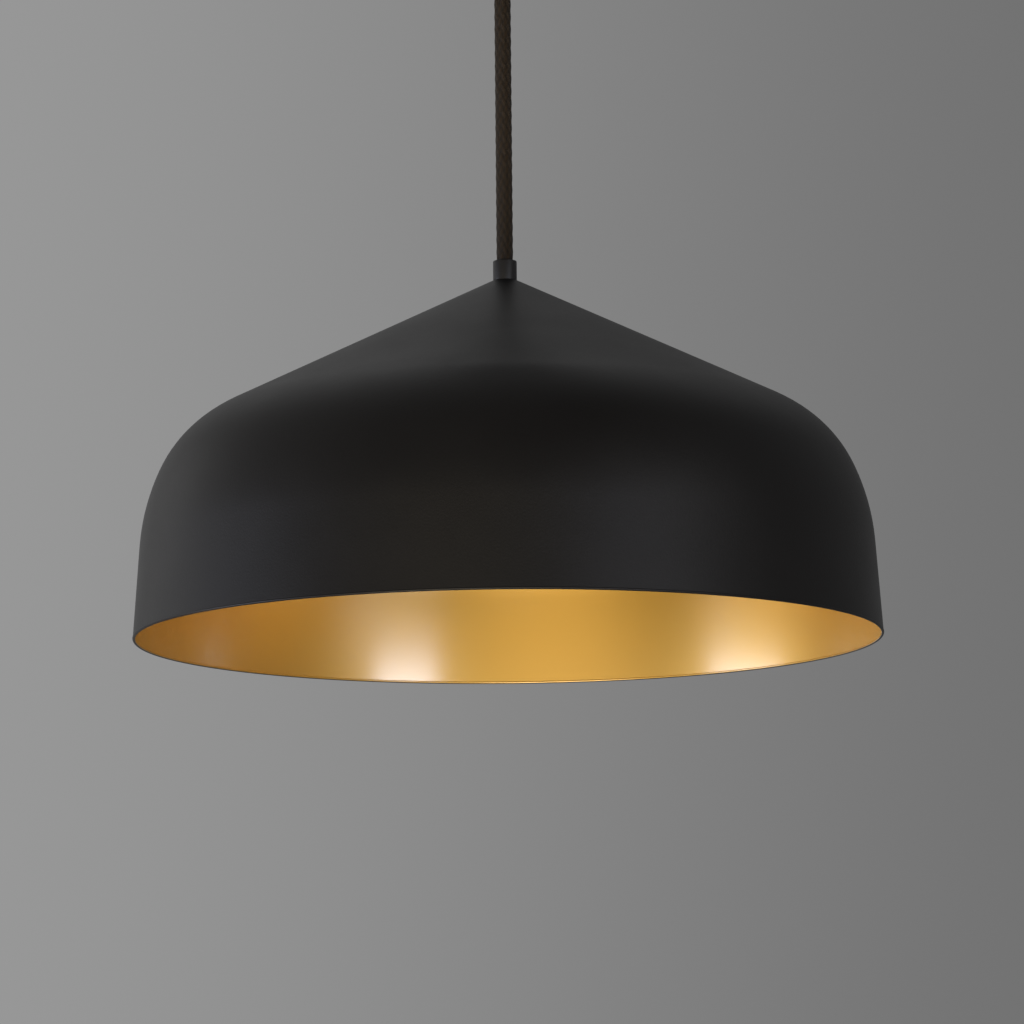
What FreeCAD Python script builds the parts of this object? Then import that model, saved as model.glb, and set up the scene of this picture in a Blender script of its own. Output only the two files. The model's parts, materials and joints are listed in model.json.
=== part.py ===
import FreeCAD, Part
import math
import os
import re
import Sketcher

# A spun dome pendant light on a textile cord, in millimetres.
# The origin is on the ceiling, on the lamp's axis; +Z is up, so the lamp hangs at negative Z.
# Heights are kept as drops: how far something lies below the ceiling.

V = FreeCAD.Vector

DIMENSIONS = {
    # ceiling bracket
    "strap_half_length": 56,
    "strap_half_width": 11,
    "strap_thickness": 1.5,
    "ear_half_width": 8,
    "ear_drop": 13.5,
    "slot_spacing": 66,
    "slot_length": 12,
    "slot_width": 4.5,
    "tab_reach": 37,
    "earth_screw_reach": 20,
    "machine_screw_radius": 1.95,
    "machine_thread_radius": 2,
    "small_screw_radius": 1.45,
    "small_thread_radius": 1.5,
    # canopy
    "canopy_radius": 60,
    "canopy_drop": 28,
    "canopy_wall": 1,
    "canopy_corner": 6,
    "canopy_screw_drop": 8,
    "thumb_head_radius": 4.5,
    "thumb_head_length": 6,
    # cord grip
    "grip_drop": 43,
    "grip_radius": 9.5,
    "stud_radius": 7,
    "stud_top_drop": 21,
    "grip_nut_flats": 19,
    "grip_nut_height": 3,
    "mouth_radius": 7.6,
    "mouth_start_drop": 37,
    "grip_screw_drop": 32.5,
    # cord and its two flexing places
    "cord_radius": 4.4,
    "cord_bore_radius": 4.55,
    "tail_top_drop": 16,
    "swing_drop": 39,
    "swing_ball_radius": 3.4,
    "swing_gap": 3.8,
    "tilt_drop": 187,
    "tilt_ball_radius": 3.3,
    "tilt_gap": 3.7,
    "core_radius": 1.15,
    "core_spread": 1.5,
    # terminal block in the canopy
    "block_half_width": 9,
    "block_near": 17,
    "block_far": 33,
    "block_drop": 13.5,
    "way_offset": 4.5,
    "way_drop": 9,
    "tube_radius": 2.1,
    "tube_bore_radius": 1.5,
    # collar and nipple
    "collar_top_drop": 189.3,
    "collar_radius": 6.4,
    "collar_screw_drop": 192.8,
    "jacket_end_drop": 195.6,
    "nipple_radius": 4.95,
    "nipple_bore_radius": 3.75,
    "nipple_top_drop": 196,
    "nipple_end_drop": 210,
    # dome shade
    "shade_drop": 200,
    "shade_height": 194.7,
    "shade_radius": 200,
    "sheet": 1.2,
    "entry_radius": 5.15,
    "land_radius": 6.4,
    "cone_angle": 26.01,
    "shoulder_radius": 69.16,
    "shoulder_sweep": 38.88,
    "flank_radius": 115.87,
    "side_lean": 4.19,
    "bead_radius": 0.8,
    "bead_stand": 0.2,
    # lampholder
    "washer_drop": 201.2,
    "cap_drop": 201.8,
    "cap_plate": 3,
    "tag_thickness": 0.8,
    "lock_nut_flats": 14,
    "lock_nut_height": 3,
    "holder_radius": 19.5,
    "spigot_radius": 17.6,
    "chamber_radius": 15.6,
    "sleeve_top_drop": 224.1,
    "spigot_end_drop": 232,
    "insert_top_drop": 230,
    "plate_under_drop": 236,
    "insert_end_drop": 256,
    "sleeve_end_drop": 263,
    "shell_radius": 13.9,
    "shell_wall": 0.5,
    "shell_end_drop": 254,
    "live_reach": 6.5,
    "neutral_reach": 11,
    "terminal_top_drop": 223,
    "terminal_half_width": 3,
    # lamp bulb
    "bulb_top_drop": 239.6,
    "base_radius": 13.1,
    "base_wall": 0.5,
    "base_end_drop": 265.5,
    "globe_centre_drop": 316,
    "globe_radius": 30,
    "globe_wall": 1.2,
    "globe_rise": 16,
    "board_radius": 22,
    "chip_ring_radius": 14,
}

doc = FreeCAD.newDocument("pendant_light")
sheet = doc.addObject("Spreadsheet::Sheet", "Dims")
for row, (alias, number) in enumerate(DIMENSIONS.items(), start=1):
    sheet.set(f"A{row}", alias)
    sheet.set(f"B{row}", str(number))
    sheet.setAlias(f"B{row}", alias)
doc.recompute()

parts = []


# ---------------------------------------------------------------- helpers

def bound(text):
    """The expression with each driving dimension's name pointed at the sheet."""
    return re.sub(r"[a-z][a-z_]+", lambda word: "Dims." + word[0] if word[0] in DIMENSIONS else word[0], text)


def value(text):
    """The number that an expression gives now."""
    return float(sheet.evalExpression(bound(text)))


def start_body(label):
    """An empty body, on the list of sub-parts that are written out."""
    body = doc.addObject("PartDesign::Body", label)
    body.Label = label
    body.AllowCompound = True
    parts.append(body)
    return body


def start_sketch(body, role, lift="0"):
    """An empty sketch on one of the body's origin planes, lifted along the plane's normal."""
    sketch = body.newObject("Sketcher::SketchObject", "Sketch")
    plane = next(feature for feature in body.Origin.OriginFeatures if feature.Role == role)
    sketch.AttachmentSupport = [(plane, "")]
    sketch.MapMode = "FlatFace"
    sketch.setExpression("AttachmentOffset.Base.z", bound(lift))
    return sketch


def pin(sketch, kind, text, *geometry):
    """A constraint whose value is bound to an expression."""
    number = value(text)
    degrees = kind == "Angle"
    index = sketch.addConstraint(Sketcher.Constraint(kind, *geometry, math.radians(number) if degrees else number))
    sketch.setExpression(f"Constraints[{index}]", f"({bound(text)}) * 1 deg" if degrees else bound(text))


def draw_outline(sketch, corners):
    """A closed outline of straight lines; each corner is a pair of expressions."""
    places = [V(value(x), value(y), 0) for x, y in corners]
    lines = [
        sketch.addGeometry(Part.LineSegment(places[i], places[(i + 1) % len(places)]))
        for i in range(len(places))
    ]
    for line, following in zip(lines, lines[1:] + lines[:1]):
        sketch.addConstraint(Sketcher.Constraint("Coincident", line, 2, following, 1))
    for line, (x, y) in zip(lines, corners):
        pin(sketch, "DistanceX", x, -1, 1, line, 1)
        pin(sketch, "DistanceY", y, -1, 1, line, 1)


def draw_circle(sketch, x, y, radius):
    """A circle with a bound centre and radius."""
    circle = sketch.addGeometry(Part.Circle(V(value(x), value(y), 0), V(0, 0, 1), value(radius)))
    pin(sketch, "DistanceX", x, -1, 1, circle, 3)
    pin(sketch, "DistanceY", y, -1, 1, circle, 3)
    pin(sketch, "Radius", radius, circle)


def hexagon(flats):
    """Corners of a hexagon with two flats facing front and back."""
    return [
        (f"({flats}) / sqrt(3) * cos({60 * turn} deg)", f"({flats}) / sqrt(3) * sin({60 * turn} deg)")
        for turn in range(6)
    ]


def rectangle(low_x, high_x, low_y, high_y):
    """Corners of an upright rectangle."""
    return [(low_x, low_y), (high_x, low_y), (high_x, high_y), (low_x, high_y)]


def add_feature(body, kind, sketch, **settings):
    """A PartDesign feature made from a sketch."""
    feature = body.newObject(kind, kind.split("::")[1])
    feature.Profile = sketch
    for name, setting in settings.items():
        setattr(feature, name, setting)
    sketch.Visibility = False
    return feature


def pad(body, sketch, length, **settings):
    """Material as deep as the bound length, along the sketch's normal."""
    feature = add_feature(body, "PartDesign::Pad", sketch, **settings)
    feature.setExpression("Length", bound(length))
    return feature


def bore(body, role, holes, length="400", lift="0", **settings):
    """Round holes, each (x, y, radius) on the plane; the volume shows that they cut."""
    doc.recompute()
    before = body.Shape.Volume
    sketch = start_sketch(body, role, lift)
    for x, y, radius in holes:
        draw_circle(sketch, x, y, radius)
    feature = add_feature(body, "PartDesign::Pocket", sketch, **settings)
    feature.setExpression("Length", bound(length))
    doc.recompute()
    assert body.Shape.Volume < before, f"the holes in {body.Label} cut nothing"


def turn(label, corners):
    """A body turned about the lamp's axis; corners are (radius, height)."""
    body = start_body(label)
    sketch = start_sketch(body, "XZ_Plane")
    draw_outline(sketch, corners)
    add_feature(body, "PartDesign::Revolution", sketch, ReferenceAxis=(sketch, ["V_Axis"]), Angle=360)
    return body


def turn_sideways(body, role, height, corners, lift="0"):
    """A piece turned about a level axis at a height; corners are (distance along, radius)."""
    sketch = start_sketch(body, role, lift)
    sketch.setExpression("AttachmentOffset.Base.y", bound(height))
    draw_outline(sketch, corners)
    return add_feature(body, "PartDesign::Revolution", sketch, ReferenceAxis=(sketch, ["H_Axis"]), Angle=360)


def mirror(body, feature):
    """The feature again on the other side, left for right."""
    plane = next(item for item in body.Origin.OriginFeatures if item.Role == "YZ_Plane")
    copy = body.newObject("PartDesign::Mirrored", "Mirrored")
    copy.Originals = [feature]
    copy.MirrorPlane = (plane, [""])
    body.Tip = copy


def add_solid(kind, label, settings, place=("0", "0", "0"), listed=True):
    """A Part primitive with bound sizes and a bound place."""
    solid = doc.addObject(kind, label)
    solid.Label = label
    for name, text in settings.items():
        solid.setExpression(name, bound(text))
    for axis, text in zip("xyz", place):
        solid.setExpression(f"Placement.Base.{axis}", bound(text))
    if listed:
        parts.append(solid)
    return solid


def add_wire(label, corners, bend_radius):
    """An insulated core: straight runs joined by tangent arcs, swept as a tube."""
    radius = value("core_radius")
    points = [V(*(value(text) for text in corner)) for corner in corners]
    edges = []
    start = points[0]
    for before, corner, after in zip(points, points[1:], points[2:]):
        back = (before - corner).normalize()
        ahead = (after - corner).normalize()
        half_turn = (math.pi - back.getAngle(ahead)) / 2
        reach = bend_radius * math.tan(half_turn)
        middle = (back + ahead).normalize() * bend_radius * (1 / math.cos(half_turn) - 1)
        edges.append(Part.LineSegment(start, corner + back * reach).toShape())
        edges.append(Part.Arc(corner + back * reach, corner + middle, corner + ahead * reach).toShape())
        start = corner + ahead * reach
    edges.append(Part.LineSegment(start, points[-1]).toShape())
    path = Part.Wire(edges)
    ring = Part.Wire([Part.Circle(points[0], points[1] - points[0], radius).toShape()])
    tube = path.makePipeShell([ring], True, True)
    expected = math.pi * radius ** 2 * path.Length
    assert abs(tube.Volume / expected - 1) < 0.01, f"{label} is not a clean tube"
    wire = doc.addObject("Part::Feature", label)
    wire.Label = label
    wire.Shape = tube
    parts.append(wire)
    print(f"{label}: {path.Length:.1f} mm long, bends of {bend_radius} mm")


# ---------------------------------------------------------------- ceiling bracket and canopy

def make_bracket():
    """Steel strap with two slots, a tab for the terminal block and two tapped ears."""
    body = start_body("mounting_bracket")
    strap = start_sketch(body, "XY_Plane")
    draw_outline(strap, [
        ("-strap_half_length", "-strap_half_width"), ("strap_half_length", "-strap_half_width"),
        ("strap_half_length", "strap_half_width"), ("strap_half_width", "strap_half_width"),
        ("strap_half_width", "tab_reach"), ("-strap_half_width", "tab_reach"),
        ("-strap_half_width", "strap_half_width"), ("-strap_half_length", "strap_half_width"),
    ])
    pad(body, strap, "strap_thickness", Reversed=True)
    ear = start_sketch(body, "XY_Plane")
    draw_outline(ear, rectangle("strap_half_length - strap_thickness", "strap_half_length",
                                "-ear_half_width", "ear_half_width"))
    right_ear = pad(body, ear, "ear_drop", Reversed=True)
    mirror(body, right_ear)
    half = "(slot_length - slot_width) / 2"
    for side in ("-", ""):
        centre = f"{side}slot_spacing / 2"
        bore(body, "XY_Plane", [(f"{centre} - {half}", "0", "slot_width / 2")])
        bore(body, "XY_Plane", [(f"{centre} + {half}", "0", "slot_width / 2")])
        middle = start_sketch(body, "XY_Plane")
        draw_outline(middle, rectangle(f"{centre} - {half}", f"{centre} + {half}",
                                       "-slot_width / 2", "slot_width / 2"))
        cut = add_feature(body, "PartDesign::Pocket", middle)
        cut.setExpression("Length", bound("2 * strap_thickness"))
    bore(body, "XY_Plane", [("earth_screw_reach", "0", "machine_thread_radius"),
                            ("0", "(block_near + block_far) / 2", "small_thread_radius")])
    bore(body, "YZ_Plane", [("0", "-canopy_screw_drop", "machine_thread_radius")], Midplane=True)


def circle_edges(shape, radius, height):
    """Names of the round edges of a radius at a height."""
    return [
        f"Edge{number}" for number, edge in enumerate(shape.Edges, start=1)
        if edge.Curve.TypeId == "Part::GeomCircle" and abs(edge.Curve.Radius - radius) < 0.01
        and abs(edge.Curve.Center.z - height) < 0.01
    ]


def round_edge(body, radius, height, size):
    """A bound fillet on one round edge of the body."""
    doc.recompute()
    before = body.Shape.Volume
    base = body.Tip
    edges = circle_edges(base.Shape, value(radius), value(height))
    fillet = body.newObject("PartDesign::Fillet", "Fillet")
    fillet.Base = (base, edges)
    fillet.setExpression("Radius", bound(size))
    body.Tip = fillet
    doc.recompute()
    assert abs(body.Shape.Volume - before) > 1e-3, f"the edge of {body.Label} is still sharp"


def make_canopy():
    """Spun steel cup that hides the bracket and the wiring."""
    body = turn("canopy", [
        ("stud_radius + 0.2", "-canopy_drop"), ("canopy_radius", "-canopy_drop"), ("canopy_radius", "0"),
        ("canopy_radius - canopy_wall", "0"), ("canopy_radius - canopy_wall", "canopy_wall - canopy_drop"),
        ("stud_radius + 0.2", "canopy_wall - canopy_drop"),
    ])
    round_edge(body, "canopy_radius", "-canopy_drop", "canopy_corner")
    round_edge(body, "canopy_radius - canopy_wall", "canopy_wall - canopy_drop", "canopy_corner - canopy_wall")
    bore(body, "YZ_Plane", [("0", "-canopy_screw_drop", "machine_thread_radius + 0.3")], Midplane=True)


def make_canopy_screws():
    """Two thumb screws that hold the canopy to the bracket's ears."""
    body = start_body("canopy_screws")
    screw = turn_sideways(body, "XZ_Plane", "-canopy_screw_drop", [
        ("strap_half_length - 2.5", "0"), ("strap_half_length - 2.5", "machine_screw_radius - 0.5"),
        ("strap_half_length - 2", "machine_screw_radius"), ("canopy_radius", "machine_screw_radius"),
        ("canopy_radius", "thumb_head_radius"),
        ("canopy_radius + thumb_head_length - 0.6", "thumb_head_radius"),
        ("canopy_radius + thumb_head_length", "thumb_head_radius - 0.6"),
        ("canopy_radius + thumb_head_length", "0"),
    ])
    mirror(body, screw)


# ---------------------------------------------------------------- cord grip

def make_grip():
    """Turned cord grip: threaded stud above, bell mouth below, one clamping screw at the back."""
    body = turn("cord_grip_body", [
        ("cord_bore_radius", "-stud_top_drop"), ("stud_radius - 0.5", "-stud_top_drop"),
        ("stud_radius", "-stud_top_drop - 0.5"), ("stud_radius", "-canopy_drop"),
        ("grip_radius", "-canopy_drop"), ("grip_radius", "1.4 - grip_drop"),
        ("mouth_radius + 0.6", "-grip_drop"), ("mouth_radius", "-grip_drop"),
        ("cord_bore_radius", "-mouth_start_drop"),
    ])
    bore(body, "XZ_Plane", [("0", "-grip_screw_drop", "machine_thread_radius")],
         length="grip_radius + 1", Reversed=False)
    nut = start_body("cord_grip_nut")
    outline = start_sketch(nut, "XY_Plane", "canopy_wall - canopy_drop")
    draw_outline(outline, hexagon("grip_nut_flats"))
    pad(nut, outline, "grip_nut_height")
    bore(nut, "XY_Plane", [("0", "0", "stud_radius + 0.05")], length="2 * canopy_drop")
    make_grub_screw("cord_grip_screw", "-grip_screw_drop", "cord_radius + 0.1", "grip_radius - 0.1",
                    "machine_screw_radius")


def make_grub_screw(label, height, tip, end, radius):
    """Headless screw with a round-bottomed key socket, pointing at the cord from the back."""
    body = start_body(label)
    turn_sideways(body, "YZ_Plane", height, [
        (tip, "0"), (tip, f"{radius} - 0.3"), (f"{tip} + 0.3", radius), (end, radius),
        (end, f"{radius} / 2"), (f"{end} - 0.7", f"{radius} / 2"), (f"{end} - 0.7", "0"),
    ])


# ---------------------------------------------------------------- cord

def make_cord():
    """Textile cord in plain stretches, with a small ball where it flexes at each end."""
    add_solid("Part::Cylinder", "cord_tail",
              {"Radius": "cord_radius", "Height": "swing_drop - swing_gap - tail_top_drop"},
              ("0", "0", "swing_gap - swing_drop"))
    add_solid("Part::Sphere", "cord_flex_top", {"Radius": "swing_ball_radius"}, ("0", "0", "-swing_drop"))
    add_solid("Part::Cylinder", "cord",
              {"Radius": "cord_radius", "Height": "tilt_drop - tilt_gap - swing_drop - swing_gap"},
              ("0", "0", "tilt_gap - tilt_drop"))
    add_solid("Part::Sphere", "cord_flex_bottom", {"Radius": "tilt_ball_radius"}, ("0", "0", "-tilt_drop"))
    add_solid("Part::Cylinder", "cord_end",
              {"Radius": "cord_radius", "Height": "jacket_end_drop - tilt_drop - tilt_gap"},
              ("0", "0", "-jacket_end_drop"))


def core_start(angle, height):
    """Where a core leaves the stripped end of the cord."""
    return (f"core_spread * cos({angle} deg)", f"core_spread * sin({angle} deg)", height)


LIVE_ANGLE = 150
NEUTRAL_ANGLE = 30
EARTH_ANGLE = 270


def make_leads():
    """The cord's three cores inside the canopy."""
    for label, angle, side in (("lead_live", LIVE_ANGLE, "-"), ("lead_neutral", NEUTRAL_ANGLE, "")):
        add_wire(label, [
            core_start(angle, "-tail_top_drop"), core_start(angle, "-way_drop"),
            (f"{side}way_offset", "block_near - 7", "-way_drop"),
            (f"{side}way_offset", "block_near", "-way_drop"),
        ], bend_radius=4)
    add_wire("lead_earth", [
        core_start(EARTH_ANGLE, "-tail_top_drop"), core_start(EARTH_ANGLE, "-strap_thickness - 1.3"),
        ("earth_screw_reach - 9.2", "0", "-strap_thickness - 1.3"),
    ], bend_radius=4)


def make_cores():
    """The cord's three cores inside the lampholder."""
    add_wire("core_live", [
        core_start(LIVE_ANGLE, "-jacket_end_drop"), core_start(LIVE_ANGLE, "-nipple_end_drop - 2"),
        ("-live_reach", "0", "6 - terminal_top_drop"), ("-live_reach", "0", "-terminal_top_drop"),
    ], bend_radius=4)
    add_wire("core_neutral", [
        core_start(NEUTRAL_ANGLE, "-jacket_end_drop"), core_start(NEUTRAL_ANGLE, "-nipple_end_drop - 1.5"),
        ("neutral_reach", "0", "4.5 - terminal_top_drop"), ("neutral_reach", "0", "-terminal_top_drop"),
    ], bend_radius=4)
    add_wire("core_earth", [
        core_start(EARTH_ANGLE, "-jacket_end_drop"), core_start(EARTH_ANGLE, "-nipple_end_drop - 7.5"),
        ("0", "-lock_nut_flats / 2 - 0.5", "-nipple_end_drop - 7.5"),
        ("0", "-lock_nut_flats / 2 - 0.5", "-nipple_end_drop - 3"),
    ], bend_radius=2.9)


# ---------------------------------------------------------------- wiring in the canopy

def make_terminal_block():
    """Two-way block: housing, brass tubes, clamp screws and the screw that holds it to the tab."""
    housing = start_body("terminal_housing")
    outline = start_sketch(housing, "XY_Plane", "-strap_thickness")
    draw_outline(outline, rectangle("-block_half_width", "block_half_width", "block_near", "block_far"))
    pad(housing, outline, "block_drop - strap_thickness", Reversed=True)
    bore(housing, "XZ_Plane", [("-way_offset", "-way_drop", "tube_radius + 0.05"),
                               ("way_offset", "-way_drop", "tube_radius + 0.05")], Midplane=True)
    rows = [(f"{side}way_offset", f"{row}", "small_thread_radius")
            for side in ("-", "") for row in ("block_near + 4", "block_far - 4")]
    bore(housing, "XY_Plane", rows, length="block_drop", lift="-way_drop")
    bore(housing, "XY_Plane", [("0", "(block_near + block_far) / 2", "small_thread_radius")],
         length="2 * block_drop")
    tubes = start_body("terminal_tubes")
    rings = start_sketch(tubes, "XZ_Plane", "-block_near - 1")
    for side in ("-", ""):
        draw_circle(rings, f"{side}way_offset", "-way_drop", "tube_radius")
        draw_circle(rings, f"{side}way_offset", "-way_drop", "tube_bore_radius")
    pad(tubes, rings, "block_far - block_near - 2", Reversed=True)
    screws = start_body("terminal_clamp_screws")
    ends = start_sketch(screws, "XY_Plane", "-way_drop - tube_radius - 0.1")
    for x, y, radius in rows:
        draw_circle(ends, x, y, "small_screw_radius")
    pad(screws, ends, "block_drop - way_drop - tube_radius - 0.8", Reversed=True)
    fixing = start_body("terminal_fixing_screw")
    middle = "(block_near + block_far) / 2"
    shank = start_sketch(fixing, "XY_Plane", "-0.2")
    draw_circle(shank, "0", middle, "small_screw_radius")
    pad(fixing, shank, "block_drop - 0.2", Reversed=True)
    head = start_sketch(fixing, "XY_Plane", "-block_drop")
    draw_circle(head, "0", middle, "2 * small_screw_radius")
    pad(fixing, head, "1.8", Reversed=True)


def make_earth_point():
    """Ring terminal and screw on the bracket's strap."""
    tag = start_body("earth_ring_terminal")
    ring = start_sketch(tag, "XY_Plane", "-strap_thickness")
    draw_circle(ring, "earth_screw_reach", "0", "4")
    pad(tag, ring, "tag_thickness", Reversed=True)
    tongue = start_sketch(tag, "XY_Plane", "-strap_thickness")
    draw_outline(tongue, rectangle("earth_screw_reach - 9", "earth_screw_reach - 3", "-1.5", "1.5"))
    pad(tag, tongue, "tag_thickness", Reversed=True)
    bore(tag, "XY_Plane", [("earth_screw_reach", "0", "machine_thread_radius + 0.1")])
    screw = start_body("earth_screw")
    shank = start_sketch(screw, "XY_Plane", "-0.2")
    draw_circle(shank, "earth_screw_reach", "0", "machine_screw_radius")
    pad(screw, shank, "strap_thickness + tag_thickness", Reversed=True)
    head = start_sketch(screw, "XY_Plane", "-strap_thickness - tag_thickness")
    draw_circle(head, "earth_screw_reach", "0", "3.6")
    pad(screw, head, "2.4", Reversed=True)


# ---------------------------------------------------------------- collar, nipple and shade

def make_collar():
    """Small turned collar on the dome's apex that takes the cord, with its screw at the back."""
    body = turn("collar", [
        ("cord_bore_radius", "-collar_top_drop"), ("collar_radius - 0.5", "-collar_top_drop"),
        ("collar_radius", "-collar_top_drop - 0.5"), ("collar_radius", "-shade_drop"),
        ("nipple_radius + 0.05", "-shade_drop"), ("nipple_radius + 0.05", "-jacket_end_drop - 0.2"),
        ("cord_bore_radius", "-jacket_end_drop - 0.2"),
    ])
    bore(body, "XZ_Plane", [("0", "-collar_screw_drop", "small_thread_radius")],
         length="collar_radius + 1", Reversed=False)
    make_grub_screw("collar_set_screw", "-collar_screw_drop", "cord_radius + 0.1", "collar_radius - 0.1",
                    "small_screw_radius")
    turn("nipple", [
        ("nipple_bore_radius", "-nipple_top_drop"), ("nipple_radius", "-nipple_top_drop"),
        ("nipple_radius", "-nipple_end_drop"), ("nipple_bore_radius", "-nipple_end_drop"),
    ])
    turn("shade_washer", [
        ("entry_radius - 0.05", "-washer_drop"), ("land_radius - 0.4", "-washer_drop"),
        ("land_radius - 0.4", "-cap_drop"), ("entry_radius - 0.05", "-cap_drop"),
    ])


def draw_dome(sketch, start_x, start_y, end_x, end_y, inset):
    """A dome's outline and its axis: a cone, a tight shoulder, a wider flank and a leaning side."""
    left, top, right, low = value(start_x), value(start_y), value(end_x), value(end_y)
    cone = math.radians(value("cone_angle"))
    middle = cone + math.radians(value("shoulder_sweep"))
    side = math.radians(90 - value("side_lean"))
    shoulder = value(f"shoulder_radius - ({inset})")
    flank = value(f"flank_radius - ({inset})")
    across = right - left - shoulder * (math.sin(middle) - math.sin(cone))
    across -= flank * (math.sin(side) - math.sin(middle))
    down = top - low - shoulder * (math.cos(cone) - math.cos(middle))
    down -= flank * (math.cos(middle) - math.cos(side))
    cone_run = (across * math.sin(side) - down * math.cos(side)) / math.sin(side - cone)
    cone_end = V(left + cone_run * math.cos(cone), top - cone_run * math.sin(cone), 0)
    shoulder_centre = cone_end - V(math.sin(cone), math.cos(cone), 0) * shoulder
    flank_start = shoulder_centre + V(math.sin(middle), math.cos(middle), 0) * shoulder
    flank_centre = flank_start - V(math.sin(middle), math.cos(middle), 0) * flank
    flank_end = flank_centre + V(math.sin(side), math.cos(side), 0) * flank
    up = V(0, 0, 1)
    quarter = math.pi / 2
    for piece in (
        Part.LineSegment(V(0, top, 0), V(left, top, 0)),
        Part.LineSegment(V(left, top, 0), cone_end),
        Part.ArcOfCircle(Part.Circle(shoulder_centre, up, shoulder), quarter - middle, quarter - cone),
        Part.ArcOfCircle(Part.Circle(flank_centre, up, flank), quarter - side, quarter - middle),
        Part.LineSegment(flank_end, V(right, low, 0)),
        Part.LineSegment(V(right, low, 0), V(0, low, 0)),
        Part.LineSegment(V(0, low, 0), V(0, top, 0)),
    ):
        sketch.addGeometry(piece)
    land, cone_line, shoulder_arc, flank_arc, side_line, floor, axis = range(7)
    for constraint in (
        ("Coincident", land, 2, cone_line, 1), ("Tangent", cone_line, 2, shoulder_arc, 2),
        ("Tangent", shoulder_arc, 1, flank_arc, 2), ("Tangent", flank_arc, 1, side_line, 1),
        ("Coincident", side_line, 2, floor, 1), ("Coincident", floor, 2, axis, 1),
        ("Coincident", axis, 2, land, 1), ("Horizontal", land), ("Horizontal", floor),
        ("Vertical", axis), ("PointOnObject", land, 1, -2),
    ):
        sketch.addConstraint(Sketcher.Constraint(*constraint))
    pin(sketch, "DistanceX", start_x, -1, 1, cone_line, 1)
    pin(sketch, "DistanceY", start_y, -1, 1, cone_line, 1)
    pin(sketch, "DistanceX", end_x, -1, 1, side_line, 2)
    pin(sketch, "DistanceY", end_y, -1, 1, side_line, 2)
    pin(sketch, "Angle", "-cone_angle", cone_line)
    pin(sketch, "Angle", "side_lean - 90", side_line)
    pin(sketch, "Angle", "shoulder_sweep", shoulder_arc)
    pin(sketch, "Radius", f"shoulder_radius - ({inset})", shoulder_arc)
    pin(sketch, "Radius", f"flank_radius - ({inset})", flank_arc)


def make_shade():
    """Spun aluminium dome with a narrow hem rolled at its rim."""
    body = start_body("shade")
    edge_height = "bead_radius - shade_drop - shade_height"
    edge_radius = "shade_radius - bead_stand"
    outside = start_sketch(body, "XZ_Plane")
    draw_dome(outside, "land_radius", "-shade_drop", edge_radius, edge_height, "0")
    add_feature(body, "PartDesign::Revolution", outside, ReferenceAxis=(outside, ["V_Axis"]), Angle=360)
    doc.recompute()
    solid_volume = body.Shape.Volume
    inside = start_sketch(body, "XZ_Plane")
    draw_dome(inside, "land_radius - sheet * tan(cone_angle * 0.5 deg)", "-shade_drop - sheet",
              f"{edge_radius} - sheet / cos(side_lean * 1 deg)", edge_height, "sheet")
    add_feature(body, "PartDesign::Groove", inside, ReferenceAxis=(inside, ["V_Axis"]), Angle=360)
    doc.recompute()
    assert body.Shape.Volume < 0.05 * solid_volume, "the dome is not hollow"
    bead = start_sketch(body, "XZ_Plane")
    draw_circle(bead, "shade_radius - bead_radius", edge_height, "bead_radius")
    add_feature(body, "PartDesign::Revolution", bead, ReferenceAxis=(bead, ["V_Axis"]), Angle=360)
    bore(body, "XY_Plane", [("0", "0", "entry_radius")], length="shade_drop + 10")


# ---------------------------------------------------------------- lampholder

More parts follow.
